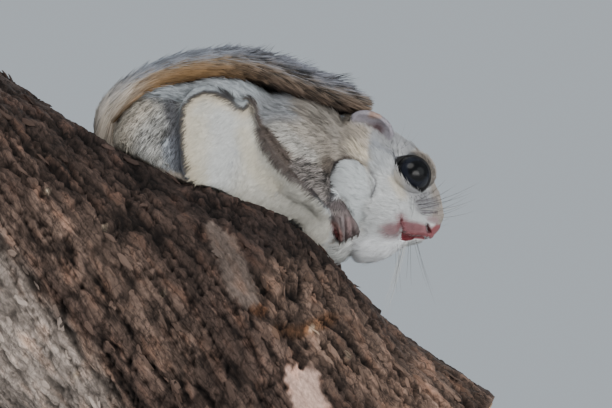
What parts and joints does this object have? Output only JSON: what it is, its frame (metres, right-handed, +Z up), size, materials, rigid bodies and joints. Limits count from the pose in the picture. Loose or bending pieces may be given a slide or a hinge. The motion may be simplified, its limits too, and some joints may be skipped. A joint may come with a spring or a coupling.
{
  "type": "flying squirrel",
  "caption": "Life-size still model of a small flying squirrel crouched head down on a cut length of tree limb, tail folded over its back, on a plain stand.",
  "frame": {"origin": "centre of the underside of the stand's base", "axes": "+Z up, +X the way the animal's nose points, +Y to the animal's left"},
  "size_m": [0.2067, 0.1042, 0.2158],
  "materials": {
    "coat": "soft fur, grey-buff above and white below",
    "skin": "thin bare skin, pinkish grey",
    "eye": "wet gloss, near black",
    "claw": "horn, satin",
    "whisker": "stiff dark hair",
    "bark": "rough grey-brown bark",
    "plinth": "dark stained wood, satin lacquer",
    "rod": "brushed"
  },
  "bodies": {
    "root": {"ear_left": "skin", "ear_right": "skin", "eye_left": "eye", "eye_right": "eye", "foreleg_left": "coat", "foreleg_right": "coat", "hand_left": "skin", "hand_right": "skin", "head": "coat", "hind_foot_left": "skin", "hind_foot_right": "skin", "membrane_left": "coat", "membrane_right": "coat", "neck": "coat", "perch_limb": "bark", "stand_base": "plinth", "stand_rod_1": "rod", "stand_rod_2": "rod", "tail_base": "coat", "tail_middle": "coat", "tail_tip": "coat", "thigh_left": "coat", "thigh_right": "coat", "trunk": "coat"}
  },
  "joints": []
}
